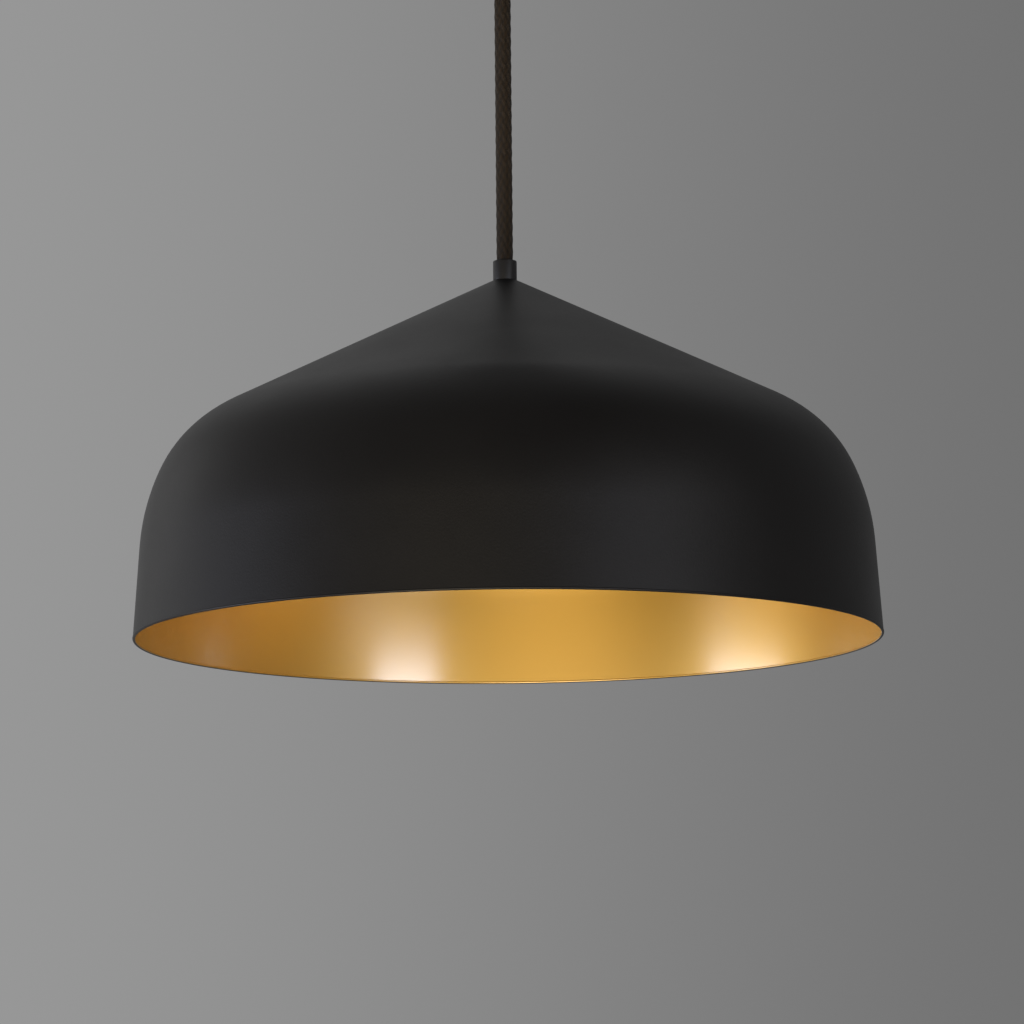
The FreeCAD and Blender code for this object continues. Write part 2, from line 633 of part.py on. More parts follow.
def make_lampholder():
    """Three-part screw lampholder: cap, contact insert and sleeve, with its metal parts."""
    turn("lampholder_cap", [
        ("nipple_radius + 0.1", "-cap_drop"), ("6", "-cap_drop"), ("holder_radius - 1", "-cap_drop - 7.2"),
        ("holder_radius", "-cap_drop - 9"), ("holder_radius", "0.1 - sleeve_top_drop"),
        ("spigot_radius", "0.1 - sleeve_top_drop"), ("spigot_radius", "-spigot_end_drop"),
        ("chamber_radius", "-spigot_end_drop"), ("chamber_radius", "-cap_drop - 9.2"),
        ("lock_nut_flats / sqrt(3) + 0.5", "-cap_drop - cap_plate"),
        ("nipple_radius + 0.1", "-cap_drop - cap_plate"),
    ])
    tag = start_body("earth_tag")
    ring = start_sketch(tag, "XY_Plane", "-cap_drop - cap_plate")
    draw_circle(ring, "0", "0", "lock_nut_flats / 2 + 0.6")
    pad(tag, ring, "tag_thickness", Reversed=True)
    bore(tag, "XY_Plane", [("0", "0", "nipple_radius + 0.1")])
    tongue = start_sketch(tag, "XY_Plane", "-cap_drop - cap_plate")
    draw_outline(tongue, rectangle("-2", "2", "-lock_nut_flats / 2 - 0.9", "-lock_nut_flats / 2 - 0.1"))
    pad(tag, tongue, "nipple_end_drop + 3 - cap_drop - cap_plate", Reversed=True)
    nut = start_body("lock_nut")
    outline = start_sketch(nut, "XY_Plane", "-cap_drop - cap_plate - tag_thickness")
    draw_outline(outline, hexagon("lock_nut_flats"))
    pad(nut, outline, "lock_nut_height", Reversed=True)
    bore(nut, "XY_Plane", [("0", "0", "nipple_radius + 0.05")])
    insert_radius = "chamber_radius - 0.2"
    insert = turn("lampholder_insert", [
        ("0", "-insert_top_drop"), (insert_radius, "-insert_top_drop"), (insert_radius, "-spigot_end_drop"),
        ("spigot_radius - 0.2", "-spigot_end_drop"), ("spigot_radius - 0.2", "-spigot_end_drop - 1.5"),
        (insert_radius, "-spigot_end_drop - 1.5"), (insert_radius, "-insert_end_drop"),
        ("shell_radius + 0.2", "-insert_end_drop"), ("shell_radius + 0.2", "-plate_under_drop"),
        ("0", "-plate_under_drop"),
    ])
    bore(insert, "XY_Plane", [("-live_reach", "0", "1.3"), ("neutral_reach", "0", "1.3")])
    turn("screw_shell", [
        ("9", "-plate_under_drop"), ("shell_radius", "-plate_under_drop"), ("shell_radius", "-shell_end_drop"),
        ("shell_radius - shell_wall", "-shell_end_drop"),
        ("shell_radius - shell_wall", "-plate_under_drop - shell_wall"), ("9", "-plate_under_drop - shell_wall"),
    ])
    make_centre_contact()
    rivets = start_body("contact_rivets")
    ends = start_sketch(rivets, "XY_Plane", "-insert_top_drop")
    draw_circle(ends, "-live_reach", "0", "1.2")
    draw_circle(ends, "neutral_reach", "0", "1.2")
    pad(rivets, ends, "plate_under_drop - insert_top_drop", Reversed=True)
    make_lampholder_terminals()
    turn("lampholder_sleeve", [
        ("spigot_radius + 0.05", "-sleeve_top_drop"), ("holder_radius", "-sleeve_top_drop"),
        ("holder_radius", "2 - sleeve_end_drop"), ("holder_radius - 1.2", "-sleeve_end_drop"),
        ("chamber_radius + 0.2", "-sleeve_end_drop"), ("chamber_radius + 0.2", "-spigot_end_drop - 1.5"),
        ("spigot_radius + 0.05", "-spigot_end_drop - 1.5"),
    ])


def make_centre_contact():
    """Folded bronze strip that springs against the bulb's tip."""
    body = start_body("centre_contact")
    sketch = start_sketch(body, "XZ_Plane")
    draw_outline(sketch, [
        ("-live_reach - 1.5", "-plate_under_drop"), ("2.4", "-plate_under_drop"),
        ("3.2", "-plate_under_drop - 0.8"), ("0.6", "-plate_under_drop - 3.3"),
        ("-1.2", "-plate_under_drop - 3.3"), ("-3.2", "-plate_under_drop - 2.4"),
        ("-3", "-plate_under_drop - 1.9"), ("-1.1", "-plate_under_drop - 2.8"),
        ("0.4", "-plate_under_drop - 2.8"), ("2.4", "-plate_under_drop - 0.9"),
        ("2.1", "-plate_under_drop - 0.5"), ("-live_reach - 1.5", "-plate_under_drop - 0.5"),
    ])
    pad(body, sketch, "5", Midplane=True)


def make_lampholder_terminals():
    """Two brass blocks on the insert, each with a clamp screw at the front."""
    blocks = start_body("lampholder_terminals")
    screws = start_body("lampholder_terminal_screws")
    screw_height = "(terminal_top_drop + insert_top_drop) / -2"
    for reach in ("-live_reach", "neutral_reach"):
        outline = start_sketch(blocks, "XY_Plane", "-insert_top_drop")
        draw_outline(outline, rectangle(f"{reach} - 3.4", f"{reach} + 3.4",
                                        "-terminal_half_width", "terminal_half_width"))
        pad(blocks, outline, "insert_top_drop - terminal_top_drop")
        turn_sideways(screws, "YZ_Plane", screw_height, [
            ("-1", "0"), ("-1", "1.15"), ("-terminal_half_width", "1.15"), ("-terminal_half_width", "2"),
            ("-terminal_half_width - 1.6", "2"), ("-terminal_half_width - 1.6", "0"),
        ], lift=reach)
    bore(blocks, "XZ_Plane", [("-live_reach", screw_height, "1.2"), ("neutral_reach", screw_height, "1.2")],
         length="terminal_half_width + 1", Reversed=True)


# ---------------------------------------------------------------- bulb

def make_bulb():
    """Round-globe screw bulb: contact, insulator, threaded base, housing, driver, board and globe."""
    turn("bulb_contact", [
        ("0", "-bulb_top_drop"), ("3.5", "-bulb_top_drop"), ("4.8", "-bulb_top_drop - 0.8"),
        ("4.8", "-bulb_top_drop - 1.6"), ("0", "-bulb_top_drop - 1.6"),
    ])
    turn("bulb_insulator", [
        ("0", "-bulb_top_drop - 1.6"), ("5.2", "-bulb_top_drop - 1.6"), ("9.5", "-bulb_top_drop - 4.4"),
        ("9.5", "-bulb_top_drop - 5.6"), ("0", "-bulb_top_drop - 5.6"),
    ])
    turn("bulb_base", [
        ("9.55", "-bulb_top_drop - 4.5"), ("10.4", "-bulb_top_drop - 4.5"),
        ("base_radius", "-bulb_top_drop - 7.4"), ("base_radius", "-base_end_drop"),
        ("base_radius - base_wall", "-base_end_drop"), ("base_radius - base_wall", "-bulb_top_drop - 7.6"),
        ("10.2", "-bulb_top_drop - 5.2"), ("9.55", "-bulb_top_drop - 5.2"),
    ])
    neck = "base_radius - base_wall - 0.05"
    seam = "globe_rise - globe_centre_drop"
    seam_radius = "sqrt(globe_radius * globe_radius - globe_rise * globe_rise)"
    turn("bulb_housing", [
        (f"{neck} - 1.3", "8 - base_end_drop"), (neck, "8 - base_end_drop"), (neck, "-base_end_drop"),
        ("base_radius + 0.9", "-base_end_drop"), ("base_radius + 1.8", "-base_end_drop - 6"),
        ("base_radius + 6.2", "-base_end_drop - 18"), (f"{seam_radius} - 1", f"{seam} + 6"),
        (seam_radius, seam), (f"{seam_radius} - 1.4", seam), (f"{seam_radius} - 2.4", f"{seam} + 6"),
        ("base_radius + 4.7", "-base_end_drop - 18"), ("base_radius + 0.3", "-base_end_drop - 6"),
        (f"{neck} - 1.3", "-base_end_drop"),
    ])
    make_globe()
    turn("led_board", [
        ("0", f"{seam} + 1.6"), ("board_radius", f"{seam} + 1.6"), ("board_radius", seam), ("0", seam),
    ])
    chips = start_body("led_chips")
    outline = start_sketch(chips, "XY_Plane", seam)
    draw_outline(outline, rectangle("chip_ring_radius - 1.4", "chip_ring_radius + 1.4", "-1.4", "1.4"))
    chip = pad(chips, outline, "0.8", Reversed=True)
    ring = chips.newObject("PartDesign::PolarPattern", "PolarPattern")
    ring.Originals = [chip]
    ring.Axis = (outline, ["N_Axis"])
    ring.Occurrences = 10
    chips.Tip = ring
    add_solid("Part::Box", "driver_board", {"Length": "1.6", "Width": "18", "Height": "30"},
              ("-0.8", "-9", f"{seam} + 3"))


def make_globe():
    """Opal globe: a thin sphere, open where it sits in the housing."""
    centre = ("0", "0", "-globe_centre_drop")
    solids = []
    for name, radius in (("globe_outside", "globe_radius"), ("globe_inside", "globe_radius - globe_wall")):
        sphere = add_solid("Part::Sphere", name, {
            "Radius": radius, "Angle2": f"asin(globe_rise / ({radius}))",
        }, centre, listed=False)
        solids.append(sphere)
    globe = doc.addObject("Part::Cut", "bulb_globe")
    globe.Label = "bulb_globe"
    globe.Base, globe.Tool = solids
    parts.append(globe)


# ---------------------------------------------------------------- build and write

make_bracket()
make_canopy()
make_canopy_screws()
make_grip()
make_terminal_block()
make_earth_point()
make_leads()
make_cord()
make_collar()
make_shade()
make_lampholder()
make_cores()
make_bulb()

doc.recompute()
for item in doc.Objects:
    faults = {"Invalid", "Error"} & set(item.State)
    assert not faults, f"{item.Label} failed: {item.State}"
for sub_part in parts:
    shape = sub_part.Shape
    assert not shape.isNull() and shape.isValid() and shape.Volume > 0, f"{sub_part.Label} has no sound shape"

os.makedirs("parts", exist_ok=True)
for sub_part in parts:
    sub_part.Shape.exportStep(f"parts/{sub_part.Label}.step")
    print(f"{sub_part.Label}: {len(sub_part.Shape.Solids)} solid(s), {sub_part.Shape.Volume:.0f} mm3")
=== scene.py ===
import json
import math

import bmesh
import bpy
from mathutils import Matrix, Vector


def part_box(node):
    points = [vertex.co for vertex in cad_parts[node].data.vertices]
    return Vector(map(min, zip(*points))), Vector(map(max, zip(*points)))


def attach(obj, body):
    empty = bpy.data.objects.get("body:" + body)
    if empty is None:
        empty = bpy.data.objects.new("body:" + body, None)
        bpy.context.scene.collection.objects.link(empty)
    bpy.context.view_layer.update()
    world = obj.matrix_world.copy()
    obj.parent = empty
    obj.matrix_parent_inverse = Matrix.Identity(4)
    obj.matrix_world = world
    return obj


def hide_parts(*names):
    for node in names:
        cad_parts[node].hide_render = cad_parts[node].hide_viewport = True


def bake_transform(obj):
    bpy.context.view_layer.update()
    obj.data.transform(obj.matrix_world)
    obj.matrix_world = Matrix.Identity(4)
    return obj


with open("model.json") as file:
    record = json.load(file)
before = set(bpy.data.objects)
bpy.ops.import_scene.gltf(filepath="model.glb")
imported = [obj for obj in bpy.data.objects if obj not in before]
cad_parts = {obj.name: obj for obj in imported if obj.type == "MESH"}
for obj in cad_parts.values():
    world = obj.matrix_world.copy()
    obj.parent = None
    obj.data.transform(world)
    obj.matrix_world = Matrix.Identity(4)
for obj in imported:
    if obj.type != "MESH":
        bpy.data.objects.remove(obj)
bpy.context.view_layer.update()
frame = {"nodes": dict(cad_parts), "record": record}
MM = 0.001

# ------------------------------------------------ sizes, from the frame and given here

SHADE_LOW, SHADE_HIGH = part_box("shade")
RIM_RADIUS = 200 * MM
RIM_HEIGHT = SHADE_LOW.z
APEX_HEIGHT = SHADE_HIGH.z
BEAD_RADIUS = 0.8 * MM
BEAD_STAND = 0.2 * MM
SHEET = 1.2 * MM
COAT_LINE = 0.8 * MM  # depth in the sheet where the black skin ends and the gold one starts
CONE_ANGLE = math.radians(26.01)
SHOULDER_RADIUS = 69.16 * MM
SHOULDER_SWEEP = math.radians(38.88)
FLANK_RADIUS = 115.87 * MM
SIDE_LEAN = math.radians(4.19)
LAND_RADIUS = 6.4 * MM
ENTRY_RADIUS = 5.2 * MM

SWING = Vector((0, 0, -39)) * MM
BRAID_RADIUS = 4.5 * MM
CORD_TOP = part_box("cord_tail")[1].z
CORD_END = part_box("cord_end")[0].z
CORD_JOINT = -132 * MM  # the long stretch ends here, and the one that bends above the collar starts
CORE_GAP = 0.05 * MM  # between the cord's cut end and the cores, whose faces would share a plane
BRAID_AROUND = 96
BRAID_ROW = 0.38 * MM
BRAID_RELIEF = 0.28 * MM
BRAID_YARNS = 8
BRAID_PITCH = 6.83 * MM

HEM_SKIN = 0.4  # thickness of the two skins round the hem, in millimetres
DOME_AROUND = 192
DOME_ROWS = 84
SEAM_MERGE = 1e-6

GLOBE_CENTRE = -316
GLOBE_RADIUS = 30
GLOBE_WALL = 1.2
GLOBE_RISE = 16  # from the globe's centre up to its seam with the housing
GLOBE_STEPS = 48

FLOOR_HEIGHT = -4.3
LIGHT_AIM = (0, 0, -0.33)
COOL_LIGHT = (0.92, 0.98, 1.18)
WARM_LIGHT = (1.12, 0.98, 0.7)
PLAIN_LIGHT = (1, 1, 1)


# ------------------------------------------------ camera

def place_camera():
    """Long lens a little below the shade, three metres off, looking slightly up at it."""
    distance = 3.0
    elevation = 0.149
    roll = math.radians(-0.533)
    aim = Vector((0, 0, APEX_HEIGHT - 100 * MM))
    shift_right = 2.6 * MM
    shift_down = 25.6 * MM
    right = Vector((1, 0, 0))
    ahead = Vector((0, math.cos(elevation), math.sin(elevation)))
    up = right.cross(ahead)
    data = bpy.data.cameras.new("camera")
    data.lens = 196.92
    data.sensor_width = 36
    data.clip_end = 100
    camera = bpy.data.objects.new("camera", data)
    bpy.context.scene.collection.objects.link(camera)
    camera.location = aim - ahead * distance + right * shift_right - up * shift_down
    camera.rotation_mode = "QUATERNION"
    facing = Matrix((right, up, -ahead)).transposed()
    camera.rotation_quaternion = (facing @ Matrix.Rotation(roll, 3, "Z")).to_quaternion()
    bpy.context.scene.camera = camera


place_camera()


# ------------------------------------------------ node trees

def put(tree, kind, inputs=None, **settings):
    """A node with its settings, its inputs given as values or joined to other nodes' outputs."""
    node = tree.nodes.new(kind)
    for name, setting in settings.items():
        setattr(node, name, setting)
    for key, source in (inputs or {}).items():
        if isinstance(source, bpy.types.NodeSocket):
            tree.links.new(source, node.inputs[key])
        else:
            node.inputs[key].default_value = source
    return node


def calc(tree, operation, *values):
    """The result of one arithmetic step."""
    return put(tree, "ShaderNodeMath", dict(enumerate(values)), operation=operation).outputs[0]


def axis_distance(tree, place):
    """Distance from the lamp's axis."""
    squares = [calc(tree, "MULTIPLY", place[side], place[side]) for side in ("X", "Y")]
    return calc(tree, "SQRT", calc(tree, "ADD", *squares))


def mesh_place(tree):
    """The X, Y and Z of each point of the mesh."""
    spot = put(tree, "GeometryNodeInputPosition").outputs[0]
    return put(tree, "ShaderNodeSeparateXYZ", {0: spot}).outputs


def about_axis(tree, radius, angle, height):
    """The place at a radius, an angle and a height about the lamp's axis."""
    return put(tree, "ShaderNodeCombineXYZ", {
        "X": calc(tree, "MULTIPLY", radius, calc(tree, "COSINE", angle)),
        "Y": calc(tree, "MULTIPLY", radius, calc(tree, "SINE", angle)),
        "Z": height,
    }).outputs[0]


def folded_grid(tree, given):
    """A grid to wrap round the axis, whose rows run down the outer face and back up the inner one.

    Returns its mesh, each point's angle and row, and 1 on the inner face or 0 on the outer one.
    """
    def run(operation, *values):
        return calc(tree, operation, *values)

    twice = run("MULTIPLY", given["Rows"], 2)
    grid = put(tree, "GeometryNodeMeshGrid", {
        "Size X": 1.0, "Size Y": 1.0, "Vertices X": run("ADD", given["Around"], 1),
        "Vertices Y": run("ADD", twice, 1),
    })
    place = mesh_place(tree)
    angle = run("MULTIPLY", run("ADD", place["X"], 0.5), 2 * math.pi)
    step = run("MODULO", run("ROUND", run("MULTIPLY", run("ADD", place["Y"], 0.5), twice)), twice)
    inner_face = run("GREATER_THAN", step, run("SUBTRACT", given["Rows"], 0.5))
    back = run("SUBTRACT", run("SUBTRACT", twice, 1), step)
    outer_row = run("MULTIPLY", run("SUBTRACT", 1.0, inner_face), step)
    row = run("ADD", run("MULTIPLY", inner_face, back), outer_row)
    return grid.outputs["Mesh"], angle, row, inner_face


def close_skin(tree, mesh, spot, material):
    """Moves the grid's points to their places, welds its seam and ends the tree."""
    moved = put(tree, "GeometryNodeSetPosition", {"Geometry": mesh, "Position": spot})
    welded = put(tree, "GeometryNodeMergeByDistance", {
        "Geometry": moved.outputs[0], "Distance": SEAM_MERGE,
    })
    end_tree(tree, welded.outputs[0], material)


def new_tree(name, sizes):
    """An empty Geometry Nodes tree with a named input for each size; returns it and its inputs."""
    tree = bpy.data.node_groups.new(name, "GeometryNodeTree")
    for label, size in sizes.items():
        kind = "NodeSocketInt" if isinstance(size, int) else "NodeSocketFloat"
        tree.interface.new_socket(label, in_out="INPUT", socket_type=kind)
    tree.interface.new_socket("Geometry", in_out="OUTPUT", socket_type="NodeSocketGeometry")
    return tree, put(tree, "NodeGroupInput").outputs


def end_tree(tree, geometry, material):
    """Makes the instances real, sets the material and joins the tree's output."""
    real = put(tree, "GeometryNodeRealizeInstances", {"Geometry": geometry})
    painted = put(tree, "GeometryNodeSetMaterial", {"Geometry": real.outputs[0], "Material": material})
    put(tree, "NodeGroupOutput", {"Geometry": painted.outputs[0]})


def link_mesh(name, mesh):
    """A new object at the origin that shows the mesh."""
    piece = bpy.data.objects.new(name, mesh)
    bpy.context.scene.collection.objects.link(piece)
    return piece


def grow(name, tree, sizes):
    """A plain mesh piece that the tree makes at these sizes."""
    host = link_mesh(name + "_pattern", bpy.data.meshes.new(name + "_pattern"))
    shape = host.modifiers.new("shape", "NODES")
    shape.node_group = tree
    for socket in tree.interface.items_tree:
        if socket.in_out == "INPUT":
            shape[socket.identifier] = sizes[socket.name]
    evaluated = host.evaluated_get(bpy.context.evaluated_depsgraph_get())
    mesh = bpy.data.meshes.new_from_object(evaluated)
    host.modifiers.remove(shape)
    bpy.data.objects.remove(host)
    material = mesh.materials[-1]
    mesh.materials.clear()
    mesh.materials.append(material)
    mesh.polygons.foreach_set("material_index", [0] * len(mesh.polygons))
    mesh.name = name
    return link_mesh(name, mesh)


# ------------------------------------------------ materials

def start_material(name, colour, metallic, roughness, **settings):
    """A material with its shader's plain values set; returns it, its tree and its shader."""
    material = bpy.data.materials.new(name)
    material.use_nodes = True
    tree = material.node_tree
    shader = next(node for node in tree.nodes if node.type == "BSDF_PRINCIPLED")
    shader.inputs["Base Color"].default_value = (*colour, 1)
    shader.inputs["Metallic"].default_value = metallic
    shader.inputs["Roughness"].default_value = roughness
    for label, setting in settings.items():
        shader.inputs[label.replace("_", " ")].default_value = setting
    return material, tree, shader


def place_of(tree):
    """Object coordinates, in metres."""
    return put(tree, "ShaderNodeTexCoord").outputs["Object"]


def noise(tree, where, scale, detail=2.0, roughness=0.5):
    """A noise pattern with a feature size of about 1 / scale metres."""
    inputs = {"Vector": where, "Scale": scale, "Detail": detail, "Roughness": roughness}
    return put(tree, "ShaderNodeTexNoise", inputs).outputs["Fac"]


def between(tree, factor, low, high):
    """A number that goes from low to high as the factor goes from 0.3 to 0.7."""
    inputs = {"Value": factor, "From Min": 0.3, "From Max": 0.7, "To Min": low, "To Max": high}
    return put(tree, "ShaderNodeMapRange", inputs).outputs["Result"]


def tint(tree, factor, first, second):
    """A colour that goes from the first to the second with the factor."""
    node = put(tree, "ShaderNodeMix", data_type="RGBA")
    for key, value in (("Factor", factor), ("A", (*first, 1)), ("B", (*second, 1))):
        socket = next(s for s in node.inputs if s.name == key and s.enabled)
        if isinstance(value, bpy.types.NodeSocket):
            tree.links.new(value, socket)
        else:
            socket.default_value = value
    return next(s for s in node.outputs if s.enabled)


def grain(tree, shader, height, depth, strength=1.0):
    """Surface relief of a depth in metres."""
    bump = put(tree, "ShaderNodeBump", {"Height": height, "Distance": depth, "Strength": strength})
    tree.links.new(bump.outputs["Normal"], shader.inputs["Normal"])


def black_powder_coat(name, colour, roughness):
    """Matte black powder coat: fine pebbled grain, faint clouding and a slightly dusty tint."""
    material, tree, shader = start_material(name, colour, 0.0, roughness, Specular_IOR_Level=0.33)
    where = place_of(tree)
    cloud = noise(tree, where, 14, 4)
    speck = noise(tree, where, 1400, 2)
    lighter = tuple(1.25 * c for c in colour)
    darker = tuple(0.85 * c for c in colour)
    tree.links.new(tint(tree, cloud, darker, lighter), shader.inputs["Base Color"])
    mixed = calc(tree, "ADD", calc(tree, "MULTIPLY", cloud, 0.6), calc(tree, "MULTIPLY", speck, 0.4))
    tree.links.new(between(tree, mixed, roughness - 0.05, roughness + 0.05), shader.inputs["Roughness"])
    pebble = calc(tree, "ADD", noise(tree, where, 900, 3), calc(tree, "MULTIPLY", speck, 0.35))
    grain(tree, shader, pebble, 0.00006)
    return material


def gold_lacquer():
    """Satin gold lacquer over spun metal: fine rings round the axis and soft clouding."""
    material, tree, shader = start_material("satin_gold_lacquer", (0.62, 0.40, 0.13), 0.92, 0.47,
                                            Coat_Weight=1.0, Coat_Roughness=0.2, Coat_IOR=2.0)
    where = place_of(tree)
    parts = put(tree, "ShaderNodeSeparateXYZ", {"Vector": where}).outputs
    ring_scale = 900
    drift_scale = 12

    def ring_line(across, along):
        """Fine rings that wander a little on their way round."""
        return calc(tree, "ADD", calc(tree, "MULTIPLY", across, ring_scale),
                    calc(tree, "MULTIPLY", along, drift_scale))

    rings = put(tree, "ShaderNodeCombineXYZ", {
        "X": ring_line(axis_distance(tree, parts), parts["X"]), "Y": ring_line(parts["Z"], parts["Y"]),
    }).outputs[0]
    spun = noise(tree, rings, 1.0, 2)
    cloud = noise(tree, where, 9, 3)
    speck = noise(tree, where, 1600, 1)
    gold = tint(tree, cloud, (0.57, 0.345, 0.062), (0.61, 0.37, 0.073))
    tree.links.new(gold, shader.inputs["Base Color"])
    tree.links.new(between(tree, cloud, 0.45, 0.49), shader.inputs["Roughness"])
    height = calc(tree, "ADD", calc(tree, "MULTIPLY", spun, 0.35), calc(tree, "MULTIPLY", speck, 0.65))
    grain(tree, shader, height, 0.00002)
    return material


def metal(name, colour, roughness, scale=700):
    """Plated or turned metal with fine scratches and uneven polish."""
    material, tree, shader = start_material(name, colour, 1.0, roughness)
    where = place_of(tree)
    stretched = put(tree, "ShaderNodeMapping", {"Vector": where, "Scale": (1, 1, 9)}).outputs[0]
    scratch = noise(tree, stretched, scale, 3)
    cloud = noise(tree, where, 60, 3)
    darker = tuple(0.8 * c for c in colour)
    tree.links.new(tint(tree, cloud, darker, colour), shader.inputs["Base Color"])
    tree.links.new(between(tree, scratch, roughness - 0.07, roughness + 0.08), shader.inputs["Roughness"])
    grain(tree, shader, scratch, 0.000015)
    return material


def moulded(name, colour, roughness, **settings):
    """Moulded plastic or ceramic: nearly smooth, with a faint orange peel."""
    material, tree, shader = start_material(name, colour, 0.0, roughness, **settings)
    where = place_of(tree)
    cloud = noise(tree, where, 40, 3)
    darker = tuple(0.9 * c for c in colour)
    tree.links.new(tint(tree, cloud, darker, colour), shader.inputs["Base Color"])
    tree.links.new(between(tree, cloud, roughness - 0.04, roughness + 0.04), shader.inputs["Roughness"])
    grain(tree, shader, noise(tree, where, 600, 2), 0.00002)
    return material


def braided_yarn():
    """Dark brown textile yarn: painted shade in the gaps between the yarns, a painted highlight on the yarn
    tops, and loose fibre.
    """
    material, tree, shader = start_material("brown_braided_yarn", (0.03, 0.02, 0.013), 0.0, 0.62,
                                            Sheen_Weight=0.05, Sheen_Roughness=0.4,
                                            Specular_IOR_Level=0.25)
    crown = put(tree, "ShaderNodeAttribute", attribute_name="crown").outputs["Fac"]
    lay = put(tree, "ShaderNodeAttribute", attribute_name="lay").outputs["Fac"]
    where = place_of(tree)
    fibre = put(tree, "ShaderNodeTexWave", {
        "Vector": put(tree, "ShaderNodeCombineXYZ", {"X": lay}).outputs[0],
        "Scale": 1.6, "Distortion": 0.0,
    }, wave_type="BANDS", bands_direction="X").outputs["Fac"]
    fuzz = noise(tree, where, 2600, 2)
    # The colour follows the yarn's crown: painted shade darkens the gaps between the yarns and painted
    # light brightens their tops; the fuzz adds random fibre tone.
    shade = calc(tree, "ADD", calc(tree, "MULTIPLY", crown, 0.8), calc(tree, "MULTIPLY", fuzz, 0.25))
    tree.links.new(tint(tree, shade, (0.0016, 0.0012, 0.001), (0.028, 0.0165, 0.007)),
                   shader.inputs["Base Color"])
    height = calc(tree, "ADD", calc(tree, "MULTIPLY", fibre, 0.5), calc(tree, "MULTIPLY", fuzz, 0.5))
    grain(tree, shader, height, 0.00008)
    return material


def striped_core():
    """Green and yellow insulation of the earth core."""
    material, tree, shader = start_material("green_yellow_core", (0.2, 0.4, 0.05), 0.0, 0.4)
    stripe = put(tree, "ShaderNodeTexWave", {"Vector": place_of(tree), "Scale": 90},
                 wave_type="BANDS", bands_direction="DIAGONAL").outputs["Fac"]
    sharp = put(tree, "ShaderNodeMapRange", {
        "Value": stripe, "From Min": 0.45, "From Max": 0.55,
    }).outputs["Result"]
    tree.links.new(tint(tree, sharp, (0.02, 0.22, 0.04), (0.72, 0.58, 0.03)), shader.inputs["Base Color"])
    return material


POWDER_BLACK = black_powder_coat("black_powder_coat", (0.0045, 0.0039, 0.0039), 0.46)
FITTING_BLACK = black_powder_coat("black_fitting_paint", (0.016, 0.015, 0.0145), 0.45)
GOLD = gold_lacquer()
YARN = braided_yarn()
FINISHES = {
    "zinc_steel": metal("zinc_plate", (0.58, 0.59, 0.61), 0.34),
    "brass": metal("bright_brass", (0.78, 0.58, 0.26), 0.28),
    "bronze": metal("spring_bronze", (0.68, 0.42, 0.22), 0.32),
    "nickel": metal("nickel_plate", (0.72, 0.70, 0.66), 0.2),
    "black_phenolic": moulded("black_phenolic", (0.014, 0.013, 0.013), 0.34),
    "white_ceramic": moulded("glazed_white_ceramic", (0.80, 0.79, 0.76), 0.16, Coat_Weight=0.4),
    "white_nylon": moulded("white_nylon", (0.76, 0.76, 0.73), 0.45),
    "core_brown": moulded("brown_core", (0.14, 0.05, 0.022), 0.4),
    "core_blue": moulded("blue_core", (0.02, 0.10, 0.40), 0.4),
    "core_green_yellow": striped_core(),
    "black_glass": moulded("black_glass", (0.006, 0.006, 0.008), 0.08),
    "white_plastic": moulded("white_bulb_plastic", (0.82, 0.82, 0.80), 0.38),
    "opal_globe": moulded("opal_globe", (0.88, 0.87, 0.83), 0.3, Subsurface_Weight=0.25,
                          Subsurface_Scale=0.004),
    "board_white": moulded("white_solder_mask", (0.82, 0.83, 0.82), 0.35),
    "board_green": moulded("green_board", (0.02, 0.16, 0.06), 0.4),
    "led_phosphor": moulded("yellow_phosphor", (0.85, 0.62, 0.12), 0.35),
    "black_metal": FITTING_BLACK,
    "black_shade": POWDER_BLACK,
    "brown_textile": YARN,
}


# ------------------------------------------------ turned pieces

def rounded(corners, radii, steps=5):
    """The outline with each corner that has a radius rounded into an arc."""
    points = []
    count = len(corners)
    for i, (corner, radius) in enumerate(zip(corners, radii)):
        here = Vector(corner)
        if not radius:
            points.append(here)
            continue
        back = (Vector(corners[i - 1]) - here).normalized()
        ahead = (Vector(corners[(i + 1) % count]) - here).normalized()
        half = back.angle(ahead) / 2
        reach = radius / math.tan(half)
        centre = here + (back + ahead).normalized() * radius / math.sin(half)
        start = here + back * reach - centre
        turn = start.angle_signed(here + ahead * reach - centre)
        for step in range(steps + 1):
            points.append(centre + Matrix.Rotation(-turn * step / steps, 2) @ start)
    return points


def turned(name, corners, radii, material, steps=96, smooth=40):
    """A closed outline of (radius, height) turned about the lamp's axis, with rounded corners."""
    outline = rounded([(r * MM, h * MM) for r, h in corners], [radius * MM for radius in radii])
    mesh = bmesh.new()
    rings = []
    for point in outline:
        if point.x < 1e-7:
            rings.append([mesh.verts.new((0, 0, point.y))])
            continue
        rings.append([
            mesh.verts.new((point.x * math.cos(2 * math.pi * k / steps),
                            point.x * math.sin(2 * math.pi * k / steps), point.y))
            for k in range(steps)
        ])
    for ring, after in zip(rings, rings[1:] + rings[:1]):
        if len(ring) == 1 and len(after) == 1:
            continue
        for k in range(steps):
            following = (k + 1) % steps
            if len(ring) == 1:
                mesh.faces.new((ring[0], after[k], after[following]))
            elif len(after) == 1:
                mesh.faces.new((ring[following], ring[k], after[0]))
            else:
                mesh.faces.new((ring[k], after[k], after[following], ring[following]))
    return finish_mesh(name, mesh, material, smooth)


def finish_mesh(name, mesh, material, smooth):
    """Turns the faces outwards, smooths all but the sharp edges and sets the material."""
    bmesh.ops.recalc_face_normals(mesh, faces=mesh.faces)
    data = bpy.data.meshes.new(name)
    mesh.to_mesh(data)
    mesh.free()
    data.shade_smooth()
    data.set_sharp_from_angle(angle=math.radians(smooth))
    data.materials.append(material)
    return link_mesh(name, data)


def fit(piece, body, slot, *nodes):
    """Puts a finished piece on its body, in place of the CAD nodes that it stands for."""
    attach(piece, body)
    if nodes:
        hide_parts(*nodes)
    return piece


